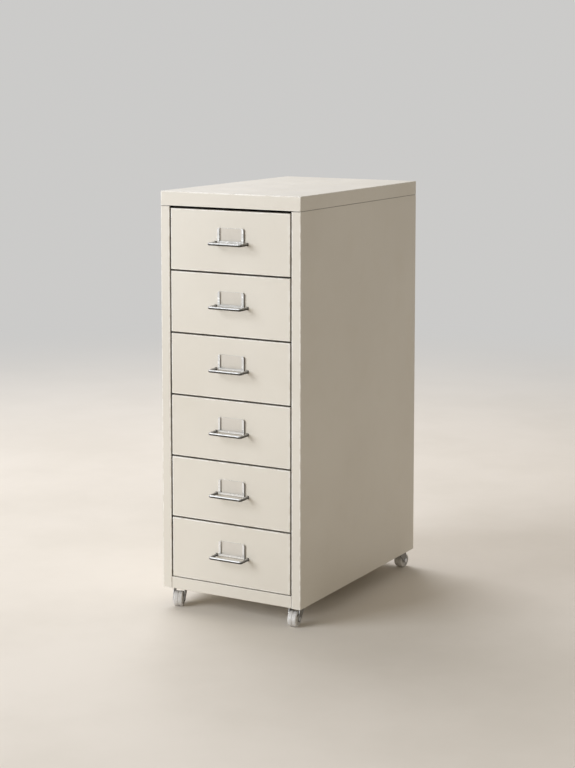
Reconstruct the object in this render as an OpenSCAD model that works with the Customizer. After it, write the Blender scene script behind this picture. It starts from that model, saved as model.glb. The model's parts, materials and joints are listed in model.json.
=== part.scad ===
// Small metal drawer cabinet on four swivel casters, with six drawers.
// Millimetres, +Z up, front towards -Y, origin on the floor under the middle of the whole box.

/* [Case] */
// Width of the case over its side panels
case_w = 270; // [250:1:330]
// Depth of the case from the stiles to the back panel
case_d = 430; // [400:1:480]
// Height of the case from its bottom edge to the top cover
case_h = 682.5; // [640:0.5:740]
// Thickness of the folded sheet steel
sheet_t = 0.8; // [0.6:0.1:1.2]
// Radius inside each fold
fold_r = 0.5; // [0.3:0.1:1]
// Width of the stile that each side panel turns in at the front
stile_w = 17.4; // [15:0.1:22]
// Depth of the return behind each stile
stile_return = 2; // [1.8:0.1:10]
// Width of the return at the back of each side panel
back_return = 20; // [14:0.5:26]
// Gap between the edges of the back panel and the folds beside them
panel_gap = 0.3; // [0.2:0.05:1]
// Height of the top cover's skirt
skirt_h = 24; // [18:0.5:32]
// Height of the open seam between the skirt and the sheets under it
seam_gap = 0.8; // [0.4:0.1:1.5]
// Length of a tongue's weld below the seam
tongue_weld = 6; // [4:0.5:10]
// Gap between a tongue and the skirt round it
tongue_gap = 0.2; // [0.1:0.05:0.4]
// Distance from each end of a tongue to the nearest fold
tongue_inset = 4; // [3:0.5:6]
// Depth of the lip turned in under the front skirt
skirt_lip = 12; // [8:0.5:16]
// Gap between that lip and each stile
lip_gap = 0.3; // [0.2:0.05:1]
// Radius on the upright corners of the top cover
cover_corner_r = 1.4; // [0.8:0.1:3]

/* [Base] */
// Height of the rail under the lowest drawer
rail_h = 20.3; // [14:0.1:24]
// How far the rail sits back from the stiles
rail_recess = 0.5; // [0.2:0.1:2]
// Depth of the return on top of the rail
rail_return = 11; // [8:0.5:13]
// Gap between the rail and each stile
rail_gap = 0.6; // [0.3:0.1:1]
// Height of the base pan's side and back flanges
pan_flange = 19; // [12:0.5:19]

/* [Drawers] */
// Gap between one drawer front and the next
front_gap = 2.8; // [2:0.1:4]
// Gap under the lowest drawer front
bottom_gap = 1.8; // [1.2:0.1:3]
// Gap over the highest drawer front
top_gap = 4.4; // [3:0.1:6]
// Gap between a drawer front and each stile
side_gap = 2.6; // [1.5:0.1:4]
// Depth of the folded drawer front
front_depth = 14; // [12:0.5:18]
// Width of the lips turned in at the back of a drawer front
front_lip = 12; // [11:0.5:16]
// Height of the tray's floor above the front's lower edge
tray_lift = 5; // [4.5:0.5:8]
// Drop from the front's upper edge to the tray's rim
rim_drop = 16; // [14:0.5:24]
// Width of the flange along the tray's rim
rim_w = 8; // [6:0.5:10]
// How far the rim stays inside the edge of the drawer front
rim_inset = 1; // [0.5:0.1:2]
// Gap between the tray's folded sheet and its two end plates
plate_gap = 0.2; // [0.2:0.05:0.5]
// Free space between the tray and the back panel
rear_gap = 30; // [20:1:60]
// Travel of a drawer from shut to fully open
drawer_travel = 300; // [240:5:300]
// Height of the stop tab at the rear of the rim
tab_h = 2.4; // [1.5:0.1:2.6]
// Length of the stop tab along the rim
tab_l = 4; // [3:0.5:8]
// Width of the stop tab across the rim
tab_w = 3; // [2:0.5:4]

/* [Runners] */
// Clear height inside a runner
runner_h = 4; // [3.6:0.1:6]
// Gap between a runner's ledge and the tray wall
ledge_gap = 1.6; // [1:0.1:3]
// Overlap of the runner's upper lip over the rim
keeper_lap = 5; // [3:0.5:6]
// Gap between a shut drawer front and the runner ends
shut_gap = 0.4; // [0.3:0.1:1]
// Gap that stays at a drawer's open stop
stop_gap = 0.4; // [0.3:0.1:1]

/* [Pull] */
// Width of the pull between the middles of its arms
pull_w = 61; // [50:1:90]
// Reach of the pull in front of the case
pull_reach = 25; // [20:0.5:35]
// Height of the pull's bar
pull_h = 5; // [3.5:0.1:8]
// Thickness of the pull's bar
pull_t = 4; // [2:0.1:5]
// Radius of the pull's bends, at the middle of the bar
pull_bend_r = 3; // [2.6:0.1:4]
// Length of the feet bent outwards behind the drawer front
pull_foot = 8; // [6:0.5:12]
// Drop from the front's upper edge to the middle of the pull
pull_drop = 54; // [44:0.5:60]
// Clearance round the pull's arms in their slots
slot_gap = 0.3; // [0.2:0.05:0.6]
// How far the pull and the label frame sit to the right of the drawer's middle
pull_shift = 4; // [-8:0.5:8]

/* [Label frame] */
// Width of the label frame
frame_w = 51; // [40:1:56]
// Height of the label frame
frame_h = 26; // [20:0.5:32]
// Drop from the front's upper edge to the top of the label frame
frame_drop = 28.6; // [20:0.1:34]
// Thickness of the label frame's sheet
frame_t = 0.6; // [0.4:0.1:0.8]
// Width of the lips that hold the label card
frame_lip = 4.4; // [3:0.1:6]
// Room for the label card under the lips
card_slot = 2; // [1:0.1:3]
// Cut across the upper corners of the lips
frame_chamfer = 2.4; // [1:0.1:4]
// Thickness of the label card
card_t = 0.4; // [0.3:0.05:0.6]
// Gap round the label card
card_gap = 0.3; // [0.2:0.05:0.5]
// Length of the tabs behind the drawer front's sheet
frame_tab_l = 2.7; // [1.5:0.1:4]
// Distance between the two tabs that hold the frame
frame_tab_span = 30; // [20:1:34]
// Width of each tab
frame_tab_w = 8; // [5:0.5:10]

/* [Casters] */
// Height of the case above the floor
caster_drop = 33.5; // [33:0.5:44]
// Distance from the case's side to a caster's swivel axis
stem_inset_x = 20; // [20:0.5:34]
// Distance from the case's front or back to a caster's swivel axis
stem_inset_y = 24; // [24:0.5:40]
// Diameter of a wheel
wheel_d = 26; // [24:0.5:30]
// Width of a wheel's tread
wheel_w = 16; // [10:0.5:18]
// Width of the groove round the tread
groove_w = 1.6; // [1:0.1:2.4]
// Depth of the groove round the tread
groove_deep = 0.7; // [0.4:0.1:1.2]
// Distance from the swivel axis to the wheel's axle
trail = 11; // [9:0.5:14]
// Thickness of the fork's sheet
fork_t = 1.4; // [1:0.1:2]
// Radius of the fork's folds, at the middle of the sheet
fork_fold_r = 1.7; // [1.4:0.1:2.2]
// Width of the fork's metal round the axle
leg_eye = 2.4; // [1.6:0.1:3.4]
// Length of the fork's crown
fork_l = 22; // [20:0.5:26]
// Radius on the shoulders of the tread
tread_r = 2.4; // [1:0.1:2.6]
// Thickness of the rim under the tread
rim_wall = 3.4; // [2.4:0.1:4]
// Slope of the rim's and the hub's sides, on the radius
rim_slope = 0.6; // [0.3:0.1:1]
// Depth of the dish on each side of the wheel
wheel_dish = 2.6; // [1.5:0.1:3.4]
// Width of the hub round the axle
hub_wall = 3; // [2:0.1:3.6]
// How far the hub stands out past the tread
hub_proud = 0.4; // [0.2:0.1:1]
// Gap between the wheel's hub and each leg of the fork
hub_gap = 0.3; // [0.2:0.05:0.6]
// Diameter of the axle
axle_d = 5; // [4:0.1:6]
// Width of the axle's riveted head beyond the axle
axle_head_w = 1.1; // [0.6:0.1:2]
// Height of the axle's riveted head
axle_head_h = 0.9; // [0.5:0.1:1.4]
// Diameter of the swivel stem
stem_d = 8; // [6:0.1:9]
// Height of the stem's collar over the fork
collar_h = 1.6; // [1:0.1:2.4]
// Width of the collar beyond the stem
collar_w = 3.2; // [2:0.1:4]
// Width of the stem's rivet beyond the stem
rivet_w = 1.6; // [1:0.1:2.4]
// Height of the stem's rivet under the fork
rivet_h = 1.4; // [1:0.1:1.8]
// Length of stem inside its socket
stem_l = 17; // [12:0.5:17]
// How far the socket's sleeve reaches past the stem's end
sleeve_over = 1; // [0.5:0.1:2]
// Wall of the socket sleeve
socket_wall = 2.6; // [2:0.1:3]
// Width of the socket's foot beyond its sleeve
socket_foot = 5; // [3:0.5:5]
// Clearance between a shaft and its bore, on the radius
run_gap = 0.05; // [0.02:0.01:0.09]
// Swing of the front left caster, 0 pointing to the right and -90 to the front
turn_front_left = -70; // [-180:1:180]
// Swing of the front right caster
turn_front_right = -84; // [-180:1:180]
// Swing of the back left caster
turn_back_left = 98; // [-180:1:180]
// Swing of the back right caster
turn_back_right = 82; // [-180:1:180]

/* [Screws] */
// Diameter of a screw's shank
screw_d = 3; // [2.5:0.1:4]
// Diameter of a screw's head
screw_head_d = 6.4; // [5:0.1:8]
// Diameter of the flat on top of a screw's head
screw_flat_d = 4.5; // [2:0.1:5]
// Height of a screw's head
screw_head_h = 1.6; // [1:0.1:2.4]
// Length of a screw's shank
screw_l = 6; // [4:0.5:8]
// Clearance round a screw's shank, on the radius
screw_gap = 0.1; // [0.05:0.05:0.3]
// Distance from the case's upper and lower ends to the outer screws
screw_margin = 60; // [40:1:100]
// Distance from the middle of the case to each screw of the top cover
cover_screw_x = 67.5; // [30:0.5:100]

/* [Hidden] */
DRAWERS = 6;
ROUND = 64;
BEND_STEPS = 5;
// How far a cut runs past the face that it opens
CUT = 1;
CREAM = [0.88, 0.86, 0.80];
CHROME = [0.78, 0.79, 0.80];
ZINC = [0.66, 0.67, 0.68];
PAPER = [0.93, 0.92, 0.88];
WHEEL_WHITE = [0.84, 0.84, 0.83];

// Fold radius at the middle of the sheet
bend_r = fold_r + sheet_t / 2;
// Front and back of the case, so that the whole box, pulls and screw heads included, is centred
front_y = -(case_d + screw_head_h - pull_reach) / 2;
back_y = front_y + case_d;
mid_y = (front_y + back_y) / 2;
case_z = caster_drop;
cover_under_z = case_z + case_h - sheet_t;
skirt_z = case_z + case_h - skirt_h;
seam_z = skirt_z - seam_gap;
inner_x = case_w / 2 - sheet_t;
panel_x = inner_x - fold_r - panel_gap;
stile_x = case_w / 2 - stile_w;
panel_y = back_y - 2 * sheet_t;

// Drawer fronts fill the height between the rail and the skirt
front_stack = case_h - skirt_h - top_gap - rail_h - bottom_gap - (DRAWERS - 1) * front_gap;
front_h = front_stack / DRAWERS;
front_pitch = front_h + front_gap;
front_x = stile_x - side_gap;
front_back_y = front_y + front_depth;

// Tray
tray_h = front_h - tray_lift - rim_drop;
rim_x = front_x - rim_inset;
tray_x = rim_x - rim_w;
tray_back_y = panel_y - rear_gap;

// Runner, measured from the front's lower edge
ledge_z = tray_lift + tray_h - sheet_t;
ledge_x = tray_x + ledge_gap;
keeper_x = rim_x - keeper_lap;
runner_y = max(front_back_y, front_y + stile_return) + shut_gap;
runner_back_y = panel_y - shut_gap;
tab_x = rim_x - tab_w;
stop_y = tray_back_y - tab_l - drawer_travel - stop_gap;

// Caster, measured from the floor
crown_top_z = case_z - collar_h;
crown_under_z = crown_top_z - fork_t;
wheel_r = wheel_d / 2;
stem_r = stem_d / 2;
axle_r = axle_d / 2;
hub_half = wheel_w / 2 + hub_proud;
leg_in = hub_half + hub_gap;
leg_out = leg_in + fork_t;
rivet_r = stem_r + rivet_w;
collar_r = stem_r + collar_w;
axle_head_r = axle_r + axle_head_w;
hub_r = axle_r + hub_wall;
leg_end_r = axle_r + leg_eye;

CORNERS = ["front_left", "front_right", "back_left", "back_right"];
TURNS = [turn_front_left, turn_front_right, turn_back_left, turn_back_right];

DRAWER_PARTS = ["tray", "front", "label_frame", "label_card", "pull"];
CASTER_PARTS = ["fork", "axle", "wheel"];
CASE_NODES = ["side_panel_left", "side_panel_right", "top_cover", "back_panel", "base_pan",
              "caster_sockets", "caster_stems", "case_screws"];

// ---- Folded sheet: a path along the middle of the sheet, thickened to both sides ----

function unit(v) = v / norm(v);
function left_of(v) = [-v[1], v[0]];
function turned(v, a) = [v[0] * cos(a) - v[1] * sin(a), v[0] * sin(a) + v[1] * cos(a)];

// Points and directions along the bend of radius r at corner b of the path a, b, c
function bend(a, b, c, r) =
    let (u = unit(b - a), v = unit(c - b), angle = atan2(cross(u, v), u * v))
    let (side = sign(angle), back = r * tan(abs(angle) / 2))
    let (centre = b - back * u + side * r * left_of(u))
    [for (i = [0:BEND_STEPS])
        let (d = turned(u, angle * i / BEND_STEPS)) [centre - side * r * left_of(d), d]];

// r is one radius for every bend, or a list with one for each
function track(path, r) =
    let (last = len(path) - 1)
    concat(
        [[path[0], unit(path[1] - path[0])]],
        [for (i = [1:last - 1])
            each bend(path[i - 1], path[i], path[i + 1], is_list(r) ? r[i - 1] : r)],
        [[path[last], unit(path[last] - path[last - 1])]]
    );

function strip(path, t, r) =
    let (steps = track(path, r), n = len(steps))
    concat(
        [for (s = steps) s[0] + left_of(s[1]) * t / 2],
        [for (i = [n - 1:-1:0]) steps[i][0] - left_of(steps[i][1]) * t / 2]
    );

// The strip stands upright on z = 0
module folded(path, t, r, length) {
    linear_extrude(length) polygon(strip(path, t, r));
}

// A box between two corners
module block(low, high) {
    translate(low) cube(high - low);
}

module mirrored_x() {
    children();
    mirror([1, 0, 0]) children();
}

function arc(centre, r, from, to, steps) =
    [for (i = [0:steps]) let (a = from + (to - from) * i / steps) centre + r * [cos(a), sin(a)]];

function rounded_rect(x, y, r, steps) = concat(
    arc([x - r, y - r], r, 0, 90, steps),
    arc([-x + r, y - r], r, 90, 180, steps),
    arc([-x + r, -y + r], r, 180, 270, steps),
    arc([x - r, -y + r], r, 270, 360, steps)
);

// ---- Case ----

side_screw_z = [for (i = [0:2]) case_z + screw_margin + i * (case_h - 2 * screw_margin) / 2];
side_screw_x = case_w / 2 - back_return / 2;
cover_screw_z = case_z + case_h - skirt_h / 2;

module screw_hole(x, z) {
    translate([x, panel_y - CUT, z]) rotate([-90, 0, 0])
        cylinder(r = screw_d / 2 + screw_gap, h = screw_l + 2 * CUT, $fn = ROUND);
}

module side_panel() {
    edge = sheet_t / 2;
    path = [
        [stile_x + edge, front_y + stile_return],
        [stile_x + edge, front_y + edge],
        [case_w / 2 - edge, front_y + edge],
        [case_w / 2 - edge, back_y - edge],
        [case_w / 2 - back_return, back_y - edge]
    ];
    color(CREAM) difference() {
        translate([0, 0, case_z]) folded(path, sheet_t, bend_r, seam_z - case_z);
        for (z = side_screw_z) screw_hole(side_screw_x, z);
    }
    color(CREAM) {
        tongue([stile_x + sheet_t + tongue_inset, front_y + sheet_t],
               [inner_x - tongue_inset, front_y + 2 * sheet_t], [0, tongue_gap]);
        tongue([inner_x - sheet_t, front_y + sheet_t + tongue_inset],
               [inner_x, panel_y - tongue_inset], [-tongue_gap, 0]);
    }
}

// A strip welded inside the sheet, which carries on up inside the skirt and holds up the cover
module tongue(low, high, off) {
    weld_z = seam_z - tongue_weld;
    block([low[0], low[1], weld_z], [high[0], high[1], seam_z]);
    block([low[0] + off[0], low[1] + off[1], weld_z],
          [high[0] + off[0], high[1] + off[1], cover_under_z]);
}

module side_panel_right() {
    side_panel();
}

module side_panel_left() {
    mirror([1, 0, 0]) side_panel();
}

module top_cover() {
    out_x = case_w / 2;
    out_y = case_d / 2;
    lip_x = stile_x - lip_gap;
    color(CREAM) difference() {
        union() {
            translate([0, mid_y, skirt_z]) difference() {
                linear_extrude(skirt_h)
                    polygon(rounded_rect(out_x, out_y, cover_corner_r, BEND_STEPS));
                translate([0, 0, -CUT]) linear_extrude(skirt_h - sheet_t + CUT)
                    polygon(rounded_rect(out_x - sheet_t, out_y - sheet_t,
                                         cover_corner_r - sheet_t, BEND_STEPS));
            }
            block([-lip_x, front_y + sheet_t / 2, skirt_z],
                  [lip_x, front_y + skirt_lip, skirt_z + sheet_t]);
        }
        mirrored_x() screw_hole(cover_screw_x, cover_screw_z);
    }
}

module back_panel() {
    color(CREAM) difference() {
        block([-panel_x, panel_y, case_z], [panel_x, panel_y + sheet_t, cover_under_z]);
        mirrored_x() {
            for (z = side_screw_z) screw_hole(side_screw_x, z);
            screw_hole(cover_screw_x, cover_screw_z);
        }
    }
}

module base_pan() {
    rail_x = stile_x - rail_gap;
    rail_y = front_y + rail_recess;
    floor_y = max(rail_y + rail_return, front_y + stile_return + rail_gap);
    color(CREAM) difference() {
        union() {
            block([-inner_x, floor_y, case_z], [inner_x, panel_y, case_z + sheet_t]);
            block([-rail_x, rail_y + rail_return / 2, case_z],
                  [rail_x, floor_y + sheet_t, case_z + sheet_t]);
            translate([-rail_x, 0, case_z]) rotate([90, 0, 90]) folded([
                [rail_y + rail_return, rail_h - sheet_t / 2],
                [rail_y + sheet_t / 2, rail_h - sheet_t / 2],
                [rail_y + sheet_t / 2, sheet_t / 2],
                [rail_y + rail_return, sheet_t / 2]
            ], sheet_t, bend_r, 2 * rail_x);
            mirrored_x() block([inner_x - sheet_t, floor_y, case_z],
                               [inner_x, panel_y, case_z + pan_flange]);
            block([-inner_x, panel_y - sheet_t, case_z], [inner_x, panel_y, case_z + pan_flange]);
        }
        at_stems() translate([0, 0, case_z - CUT])
            cylinder(r = stem_r + run_gap, h = sheet_t + 2 * CUT, $fn = ROUND);
    }
}

function drawer_z(k) = case_z + rail_h + bottom_gap + (DRAWERS - k) * front_pitch;

// A channel that opens towards the tray: ledge, web against the side panel, and upper lip
module runner(k) {
    edge = sheet_t / 2;
    web_x = inner_x - edge;
    low = ledge_z - edge;
    high = ledge_z + runner_h + edge;
    translate([0, 0, drawer_z(k)]) {
        translate([0, runner_back_y, 0]) rotate([90, 0, 0]) folded([
            [ledge_x, low], [web_x, low], [web_x, high], [keeper_x, high]
        ], sheet_t, bend_r, runner_back_y - runner_y);
        block([keeper_x, stop_y - sheet_t, ledge_z + sheet_t + stop_gap],
              [rim_x, stop_y, ledge_z + runner_h + sheet_t / 2]);
    }
}

module runners(k) {
    color(ZINC) mirrored_x() runner(k);
}

module case_screw() {
    rotate([-90, 0, 0]) {
        translate([0, 0, -screw_l]) cylinder(d = screw_d, h = screw_l + screw_head_h / 2, $fn = ROUND);
        cylinder(d1 = screw_head_d, d2 = screw_flat_d, h = screw_head_h, $fn = ROUND);
    }
}

module case_screws() {
    color(ZINC) mirrored_x() {
        for (z = side_screw_z) translate([side_screw_x, back_y, z]) case_screw();
        translate([cover_screw_x, back_y, cover_screw_z]) case_screw();
    }
}

// ---- Drawers, drawn with the front's lower edge at z = 0 ----

pull_z = front_h - pull_drop;
frame_z = front_h - frame_drop - frame_h;
frame_deep = 2 * frame_t + card_slot;

module drawer_tray() {
    edge = sheet_t / 2;
    rim_z = tray_lift + tray_h;
    plate_x = tray_x - sheet_t - plate_gap;
    color(CREAM) {
        translate([0, tray_back_y, 0]) rotate([90, 0, 0]) folded([
            [rim_x, rim_z - edge], [tray_x - edge, rim_z - edge], [tray_x - edge, tray_lift + edge],
            [-tray_x + edge, tray_lift + edge], [-tray_x + edge, rim_z - edge], [-rim_x, rim_z - edge]
        ], sheet_t, bend_r, tray_back_y - front_back_y);
        for (y = [front_back_y, tray_back_y - sheet_t])
            block([-plate_x, y, tray_lift + sheet_t + plate_gap], [plate_x, y + sheet_t, rim_z]);
        mirrored_x() block([tab_x, tray_back_y - tab_l, rim_z - edge],
                           [rim_x, tray_back_y, rim_z + tab_h]);
    }
}

module drawer_front() {
    edge = sheet_t / 2;
    side = front_x - edge;
    color(CREAM) difference() {
        union() {
            folded([
                [side - front_lip, front_back_y - edge], [side, front_back_y - edge],
                [side, front_y + edge], [-side, front_y + edge],
                [-side, front_back_y - edge], [-side + front_lip, front_back_y - edge]
            ], sheet_t, bend_r, front_h);
            for (z = [0, front_h - sheet_t])
                block([-side, front_y + edge, z], [side, front_back_y - edge, z + sheet_t]);
            for (z = [0, front_h - front_lip])
                block([-side, front_back_y - sheet_t, z], [side, front_back_y, z + front_lip]);
        }
        translate([pull_shift, 0, 0]) mirrored_x() {
            translate([pull_w / 2, front_y + edge, pull_z])
                cube([pull_t + 2 * slot_gap, 2 * sheet_t, pull_h + 2 * slot_gap], center = true);
            translate([frame_tab_span / 2, front_y + edge, frame_z + frame_h / 2])
                cube([frame_tab_w + 2 * slot_gap, 2 * sheet_t, frame_t + 2 * slot_gap], center = true);
        }
    }
}

// Open at the top: the card slides down between the lips
module drawer_label_frame() {
    edge = frame_t / 2;
    half = frame_w / 2 - edge;
    lip_y = front_y - frame_deep;
    color(CHROME) difference() {
        translate([0, 0, frame_z]) {
            folded([
                [half + edge - frame_lip, lip_y + edge], [half, lip_y + edge], [half, front_y - edge],
                [-half, front_y - edge], [-half, lip_y + edge], [-half - edge + frame_lip, lip_y + edge]
            ], frame_t, frame_t, frame_h);
            block([-half, lip_y + edge, 0], [half, front_y - edge, frame_t]);
            block([-half, lip_y, 0], [half, lip_y + frame_t, frame_lip]);
            mirrored_x() translate([frame_tab_span / 2 - frame_tab_w / 2, front_y - edge,
                                    frame_h / 2 - edge])
                cube([frame_tab_w, edge + sheet_t + frame_tab_l, frame_t]);
        }
        mirrored_x() translate([frame_w / 2, lip_y, frame_z + frame_h]) rotate([0, 45, 0])
            cube([frame_chamfer * sqrt(2), 4 * frame_deep, frame_chamfer * sqrt(2)], center = true);
    }
}

module drawer_label_card() {
    half = frame_w / 2 - frame_t - card_gap;
    color(PAPER) block([-half, front_y - frame_t - card_t, frame_z + frame_t],
                       [half, front_y - frame_t, frame_z + frame_h - card_gap]);
}

module drawer_pull() {
    arm = pull_w / 2;
    bar_y = front_y - pull_reach + pull_t / 2;
    foot_y = front_y + sheet_t + pull_t / 2;
    foot_r = pull_t / 2 + fold_r / 2;
    color(CHROME) translate([0, 0, pull_z - pull_h / 2]) folded([
        [arm + pull_foot, foot_y], [arm, foot_y], [arm, bar_y],
        [-arm, bar_y], [-arm, foot_y], [-arm - pull_foot, foot_y]
    ], pull_t, [foot_r, pull_bend_r, pull_bend_r, foot_r], pull_h);
}

module drawer_part(part) {
    if (part == "tray") drawer_tray();
    if (part == "front") drawer_front();
    translate([pull_shift, 0, 0]) {
        if (part == "label_frame") drawer_label_frame();
        if (part == "label_card") drawer_label_card();
        if (part == "pull") drawer_pull();
    }
}

// ---- Casters, drawn on their swivel axis with the wheel trailing towards +X ----

stem_x = case_w / 2 - stem_inset_x;
stem_front_y = front_y + stem_inset_y;
stem_back_y = back_y - stem_inset_y;
STEM_AT = [[-stem_x, stem_front_y], [stem_x, stem_front_y], [-stem_x, stem_back_y], [stem_x, stem_back_y]];

module at_stems() {
    for (p = STEM_AT) translate([p[0], p[1], 0]) children();
}

module caster_sockets() {
    sleeve_r = stem_r + run_gap + socket_wall;
    color(ZINC) at_stems() translate([0, 0, case_z + sheet_t]) difference() {
        union() {
            cylinder(r = sleeve_r, h = stem_l + sleeve_over, $fn = ROUND);
            cylinder(r = sleeve_r + socket_foot, h = 2 * sheet_t, $fn = ROUND);
        }
        translate([0, 0, -CUT])
            cylinder(r = stem_r + run_gap, h = stem_l + sleeve_over + 2 * CUT, $fn = ROUND);
    }
}

module caster_stems() {
    color(ZINC) at_stems() {
        translate([0, 0, crown_under_z - rivet_h])
            cylinder(r = stem_r, h = case_z + sheet_t + stem_l - crown_under_z + rivet_h, $fn = ROUND);
        translate([0, 0, crown_under_z - rivet_h]) cylinder(r = rivet_r, h = rivet_h, $fn = ROUND);
        translate([0, 0, crown_top_z]) cylinder(r = collar_r, h = collar_h, $fn = ROUND);
    }
}

// Angle at which the line from point p touches a circle, on the side given by turn
function touch_angle(p, centre, r, turn) =
    let (v = p - centre) atan2(v[1], v[0]) + turn * acos(r / norm(v));

// Outline of the fork's legs from the side: wide at the crown and rounded round the axle
module fork_side() {
    axle = [trail, wheel_r];
    shoulder_z = crown_under_z - fork_t;
    front = [-fork_l / 2, shoulder_z];
    rear = [fork_l / 2, shoulder_z];
    polygon(concat(
        [front, [-fork_l / 2, crown_top_z + CUT], [fork_l / 2, crown_top_z + CUT], rear],
        arc(axle, leg_end_r, touch_angle(rear, axle, leg_end_r, -1),
            touch_angle(front, axle, leg_end_r, 1) - 360, 3 * BEND_STEPS)
    ));
}

module caster_fork() {
    edge = fork_t / 2;
    reach = fork_l + trail + wheel_r;
    color(CHROME) difference() {
        intersection() {
            translate([-reach / 2, 0, 0]) rotate([90, 0, 90]) folded([
                [leg_in + edge, 0], [leg_in + edge, crown_top_z - edge],
                [-leg_in - edge, crown_top_z - edge], [-leg_in - edge, 0]
            ], fork_t, fork_fold_r, reach);
            translate([0, leg_out + CUT, 0]) rotate([90, 0, 0])
                linear_extrude(2 * (leg_out + CUT)) fork_side();
        }
        translate([0, 0, crown_under_z - CUT])
            cylinder(r = stem_r + run_gap, h = fork_t + 2 * CUT, $fn = ROUND);
        translate([trail, leg_out + CUT, wheel_r]) rotate([90, 0, 0])
            cylinder(r = axle_r + run_gap, h = 2 * (leg_out + CUT), $fn = ROUND);
    }
}

module caster_axle() {
    color(ZINC) translate([trail, 0, wheel_r]) rotate([90, 0, 0]) {
        cylinder(r = axle_r, h = 2 * leg_out, center = true, $fn = ROUND);
        mirrored_z() translate([0, 0, leg_out])
            cylinder(r1 = axle_head_r, r2 = axle_r, h = axle_head_h, $fn = ROUND);
    }
}

module mirrored_z() {
    children();
    mirror([0, 0, 1]) children();
}

// Half of the wheel's section, from the hub out to the middle of the tread
module caster_wheel() {
    half = wheel_w / 2;
    rim_in = wheel_r - rim_wall;
    web_half = half - wheel_dish;
    groove = groove_w / 2;
    upper = concat(
        [[axle_r + run_gap, hub_half], [hub_r, hub_half], [hub_r + rim_slope, web_half],
         [rim_in, web_half], [rim_in + rim_slope, half]],
        arc([wheel_r - tread_r, half - tread_r], tread_r, 90, 0, BEND_STEPS),
        [[wheel_r, groove], [wheel_r - groove_deep, groove / 2]]
    );
    lower = [for (i = [len(upper) - 1:-1:0]) [upper[i][0], -upper[i][1]]];
    color(WHEEL_WHITE) translate([trail, 0, wheel_r]) rotate([90, 0, 0])
        rotate_extrude($fn = ROUND) polygon(concat(upper, lower));
}

module caster_part(part) {
    if (part == "fork") caster_fork();
    if (part == "axle") caster_axle();
    if (part == "wheel") caster_wheel();
}

// ---- Nodes ----

side_panel_left();
side_panel_right();
top_cover();
back_panel();
base_pan();
caster_sockets();
caster_stems();
case_screws();

for (k = [1:DRAWERS])
    runners(k);

for (k = [1:DRAWERS], p = DRAWER_PARTS)
    translate([0, 0, drawer_z(k)]) drawer_part(p);

for (i = [0:3], p = CASTER_PARTS)
    translate([STEM_AT[i][0], STEM_AT[i][1], 0]) rotate([0, 0, TURNS[i]]) caster_part(p);
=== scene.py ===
import json
import math
from contextlib import contextmanager

import bmesh
import bpy
from mathutils import Matrix, Vector


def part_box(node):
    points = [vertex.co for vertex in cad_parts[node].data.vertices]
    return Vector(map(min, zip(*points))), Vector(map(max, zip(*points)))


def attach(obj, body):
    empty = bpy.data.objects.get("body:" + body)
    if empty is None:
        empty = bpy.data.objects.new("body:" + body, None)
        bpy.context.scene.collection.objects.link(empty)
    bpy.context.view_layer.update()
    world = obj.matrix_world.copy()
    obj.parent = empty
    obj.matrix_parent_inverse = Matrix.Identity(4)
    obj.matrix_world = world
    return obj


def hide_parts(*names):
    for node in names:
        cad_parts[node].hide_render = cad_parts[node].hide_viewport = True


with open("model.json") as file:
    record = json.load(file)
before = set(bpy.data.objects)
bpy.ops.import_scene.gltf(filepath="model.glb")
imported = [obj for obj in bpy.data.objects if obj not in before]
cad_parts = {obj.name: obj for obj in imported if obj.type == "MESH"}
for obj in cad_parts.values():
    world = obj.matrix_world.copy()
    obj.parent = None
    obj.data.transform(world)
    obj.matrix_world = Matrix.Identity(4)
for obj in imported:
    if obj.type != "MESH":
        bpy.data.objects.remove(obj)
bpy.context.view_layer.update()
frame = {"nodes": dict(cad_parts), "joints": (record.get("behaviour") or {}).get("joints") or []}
mm = 0.001
quarterTurn = math.pi / 2
loose = 0.1 * mm  # room for points that were scaled into place


def pickNothing():
    bpy.ops.object.select_all(action="DESELECT")


def makeActive(piece):
    pickNothing()
    piece.select_set(True)
    bpy.context.view_layer.objects.active = piece


@contextmanager
def editing(piece):
    makeActive(piece)
    bpy.ops.object.mode_set(mode="EDIT")
    bpy.ops.mesh.select_mode(type="FACE")
    bpy.ops.mesh.select_all(action="DESELECT")
    yield piece
    bpy.ops.object.mode_set(mode="OBJECT")


def near(a, b, room=0.02 * mm):
    return abs(a - b) < room


def isAt(point, place, room=0.02 * mm):
    return (point - Vector(place)).length < room


def edgeAt(a, b, **planes):  # both ends lie at the given x, y or z
    return all(near(getattr(end, axis), value) for end in (a, b) for axis, value in planes.items())


def pick(piece, mode, elements, test):
    bpy.ops.mesh.select_mode(type=mode)
    mesh = bmesh.from_edit_mesh(piece.data)
    if mode == "FACE":
        mesh.normal_update()
    for element in getattr(mesh, elements):
        element.select_set(bool(test(element)))
    mesh.select_flush_mode()
    bmesh.update_edit_mesh(piece.data)


def pickFaces(piece, test):  # test(middle, normal)
    pick(piece, "FACE", "faces", lambda face: test(face.calc_center_median(), face.normal))


def pickFacing(piece, x=0, y=0, z=0, where=lambda middle: True, closeness=0.9):
    way = Vector((x, y, z))
    pickFaces(piece, lambda middle, normal: normal.dot(way) > closeness and where(middle))


def pickEdges(piece, test):  # test(one end, other end)
    pick(piece, "EDGE", "edges", lambda edge: test(edge.verts[0].co, edge.verts[1].co))


def pickPoints(piece, test):  # test(place)
    pick(piece, "VERT", "verts", lambda point: test(point.co))


def extrude(x=0.0, y=0.0, z=0.0):
    bpy.ops.mesh.extrude_region_move(TRANSFORM_OT_translate={"value": (x, y, z)})


def resize(x, y, z, centre):
    bpy.ops.transform.resize(value=(x, y, z), center_override=centre)


def roundOver(width, segments=3):
    bpy.ops.mesh.bevel(offset=width, segments=segments, affect="EDGES", clamp_overlap=False)


def splitAt(place, normal, clear=False):
    bpy.ops.mesh.bisect(plane_co=place, plane_no=normal, clear_outer=clear)


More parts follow.
